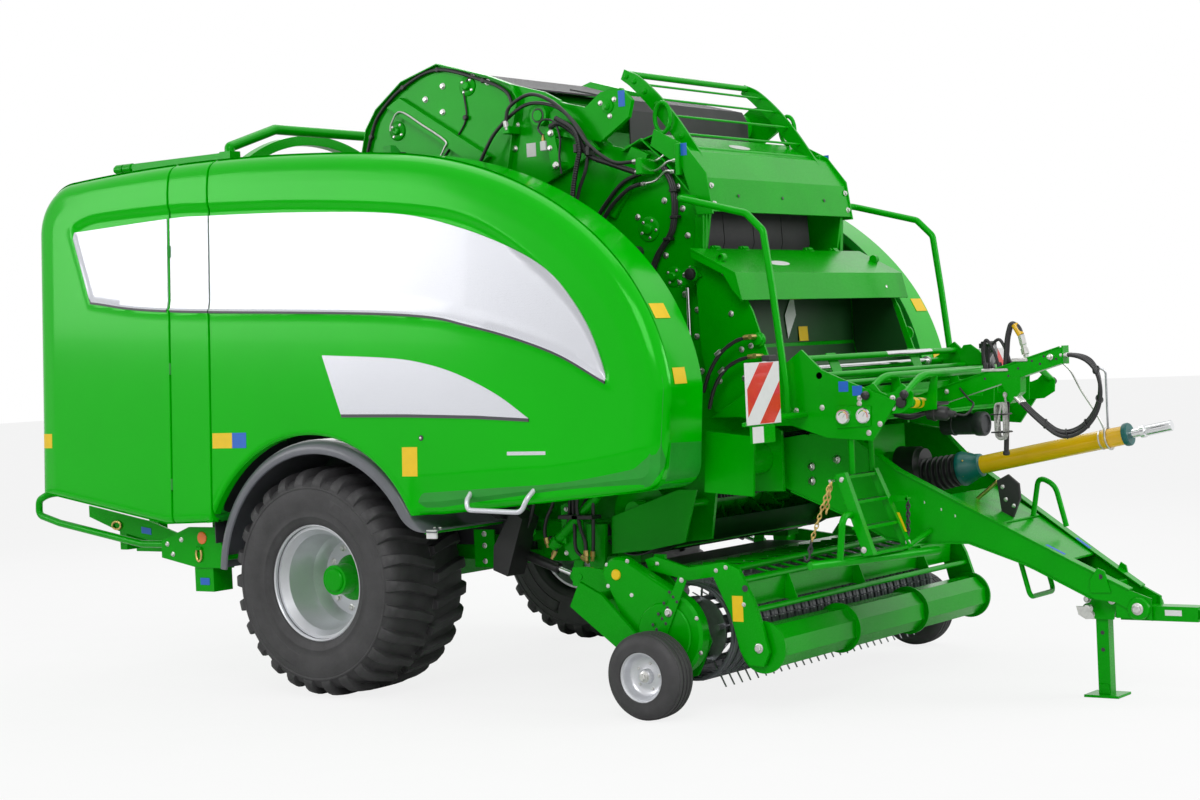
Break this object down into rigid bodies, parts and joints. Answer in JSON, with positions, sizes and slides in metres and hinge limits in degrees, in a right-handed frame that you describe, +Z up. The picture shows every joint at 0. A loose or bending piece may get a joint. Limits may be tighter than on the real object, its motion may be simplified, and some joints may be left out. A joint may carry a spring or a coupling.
{
  "type": "round baler with combined bale wrapper",
  "caption": "Towed round baler with a pickup, a variable bale chamber, a vertical wrapping ring and a tipping table behind opening side covers.",
  "frame": {"origin": "on the ground under the middle of the machine's overall box", "axes": "+X forward along the drawbar, +Y to the machine's left, +Z up"},
  "size_m": [6.5356, 2.926, 3.2714],
  "materials": {
    "green_paint": "gloss",
    "dark_green": "satin",
    "cover_green": "gloss",
    "fender_grey": "matte",
    "dark_grey": "satin",
    "black_plastic": "matte",
    "belt_rubber": "matte",
    "tyre_rubber": "matte",
    "hose_rubber": "satin",
    "rim_silver": "satin",
    "dark_steel": "satin",
    "tine_steel": "satin",
    "zinc_steel": "satin",
    "chrome_steel": "polished",
    "pto_yellow": "gloss",
    "film": "gloss",
    "board": "satin"
  },
  "bodies": {
    "root": {"chassis_frame": "green_paint", "axle_beam": "dark_green", "front_beam": "green_paint", "gearbox": "dark_grey", "drawbar": "green_paint", "hitch_eye": "green_paint", "jack_bracket": "green_paint", "pto_guard": "pto_yellow", "pto_chain": "zinc_steel", "chamber_sides": "green_paint", "chamber_rollers": "green_paint", "belt_front": "belt_rubber", "upper_hood": "green_paint", "net_guard": "green_paint", "net_box": "green_paint", "platform": "green_paint", "warning_boards": "board", "guard_rails": "green_paint", "ladder": "green_paint", "hose_arm": "green_paint", "rear_bumper": "green_paint", "roof_hoop": "green_paint", "portal_frame": "green_paint", "door_rails": "green_paint", "hose_inner": "hose_rubber", "hose_middle": "hose_rubber", "hose_outer": "hose_rubber", "wheel_chock": "black_plastic", "side_strips": "cover_green", "fenders": "fender_grey", "pickup_brackets": "green_paint"},
    "wheel_right": {"tyre_right": "tyre_rubber", "rim_right": "rim_silver"},
    "wheel_left": {"tyre_left": "tyre_rubber", "rim_left": "rim_silver"},
    "pickup": {"pickup_frame": "green_paint", "pickup_bands": "dark_steel", "drive_cover": "green_paint"},
    "pickup_reel": {"pickup_reel": "tine_steel"},
    "crop_guard": {"crop_guard": "green_paint"},
    "crop_roller": {"crop_roller": "green_paint"},
    "gauge_wheel_right": {"gauge_wheel_right": "tyre_rubber"},
    "gauge_wheel_left": {"gauge_wheel_left": "tyre_rubber"},
    "feed_rotor": {"feed_rotor": "green_paint"},
    "upper_chamber": {"upper_chamber": "green_paint", "belt_top": "belt_rubber"},
    "wrap_ring": {"wrap_ring": "green_paint", "film_rolls": "film"},
    "wrap_table": {"wrap_table": "green_paint", "table_rollers": "green_paint"},
    "front_door_right": {"front_door_right": "cover_green"},
    "front_door_left": {"front_door_left": "cover_green"},
    "rear_door_right": {"rear_door_right": "cover_green"},
    "rear_door_left": {"rear_door_left": "cover_green"},
    "net_lid": {"net_lid": "green_paint"},
    "jack_leg": {"jack_leg": "green_paint"},
    "pto_shaft": {"pto_shaft": "chrome_steel"}
  },
  "joints": [
    {"name": "wheel_right_spin", "type": "hinge", "parent": "root", "child": "wheel_right", "pos_m": [-1.013, -1.13, 0.595], "axis": [0, 1, 0], "continuous": true},
    {"name": "wheel_left_spin", "type": "hinge", "parent": "root", "child": "wheel_left", "pos_m": [-1.013, 1.13, 0.595], "axis": [0, 1, 0], "continuous": true},
    {"name": "pickup_lift", "type": "hinge", "parent": "root", "child": "pickup", "pos_m": [0.407, 0, 0.62], "axis": [0, -1, 0], "range_deg": [0, 10]},
    {"name": "pickup_reel_spin", "type": "hinge", "parent": "pickup", "child": "pickup_reel", "pos_m": [1.037, 0, 0.37], "axis": [0, 1, 0], "continuous": true},
    {"name": "crop_guard_lift", "type": "hinge", "parent": "pickup", "child": "crop_guard", "pos_m": [0.887, 0, 0.7], "axis": [0, -1, 0], "range_deg": [0, 20]},
    {"name": "crop_roller_spin", "type": "hinge", "parent": "crop_guard", "child": "crop_roller", "pos_m": [1.464, 0, 0.32], "axis": [0, 1, 0], "continuous": true},
    {"name": "gauge_wheel_right_spin", "type": "hinge", "parent": "pickup", "child": "gauge_wheel_right", "pos_m": [1.002, -1.32, 0.205], "axis": [0, 1, 0], "continuous": true},
    {"name": "gauge_wheel_left_spin", "type": "hinge", "parent": "pickup", "child": "gauge_wheel_left", "pos_m": [1.002, 1.32, 0.205], "axis": [0, 1, 0], "continuous": true},
    {"name": "feed_rotor_spin", "type": "hinge", "parent": "root", "child": "feed_rotor", "pos_m": [0.607, 0, 0.93], "axis": [0, 1, 0], "continuous": true},
    {"name": "upper_chamber_lift", "type": "hinge", "parent": "root", "child": "upper_chamber", "pos_m": [0.057, 0, 2.93], "axis": [0, 1, 0], "range_deg": [0, 45]},
    {"name": "wrap_ring_spin", "type": "hinge", "parent": "root", "child": "wrap_ring", "pos_m": [-2.203, 0, 1.98], "axis": [1, 0, 0], "continuous": true},
    {"name": "wrap_table_tip", "type": "hinge", "parent": "root", "child": "wrap_table", "pos_m": [-2.998, 0, 1.215], "axis": [0, -1, 0], "range_deg": [0, 25]},
    {"name": "front_door_right_lift", "type": "hinge", "parent": "root", "child": "front_door_right", "pos_m": [-1.013, -1.075, 2.77], "axis": [-1, 0, 0], "range_deg": [0, 65]},
    {"name": "front_door_left_lift", "type": "hinge", "parent": "root", "child": "front_door_left", "pos_m": [-1.013, 1.075, 2.77], "axis": [1, 0, 0], "range_deg": [0, 65]},
    {"name": "rear_door_right_swing", "type": "hinge", "parent": "root", "child": "rear_door_right", "pos_m": [-1.973, -1.42022, 1.80052], "axis": [0, 0.0469, 0.9989], "range_deg": [0, 80]},
    {"name": "rear_door_left_swing", "type": "hinge", "parent": "root", "child": "rear_door_left", "pos_m": [-1.973, 1.42022, 1.80052], "axis": [0, 0.0469, -0.9989], "range_deg": [0, 80]},
    {"name": "net_lid_lift", "type": "hinge", "parent": "root", "child": "net_lid", "pos_m": [0.992, 0, 2.2], "axis": [0, -1, 0], "range_deg": [0, 55]},
    {"name": "jack_fold", "type": "hinge", "parent": "root", "child": "jack_leg", "pos_m": [2.687, 0, 0.42], "axis": [0, 1, 0], "range_deg": [0, 90]},
    {"name": "pto_shaft_spin", "type": "hinge", "parent": "root", "child": "pto_shaft", "pos_m": [3.054, 0, 1.262], "axis": [0.984, 0, 0.1784], "continuous": true}
  ]
}
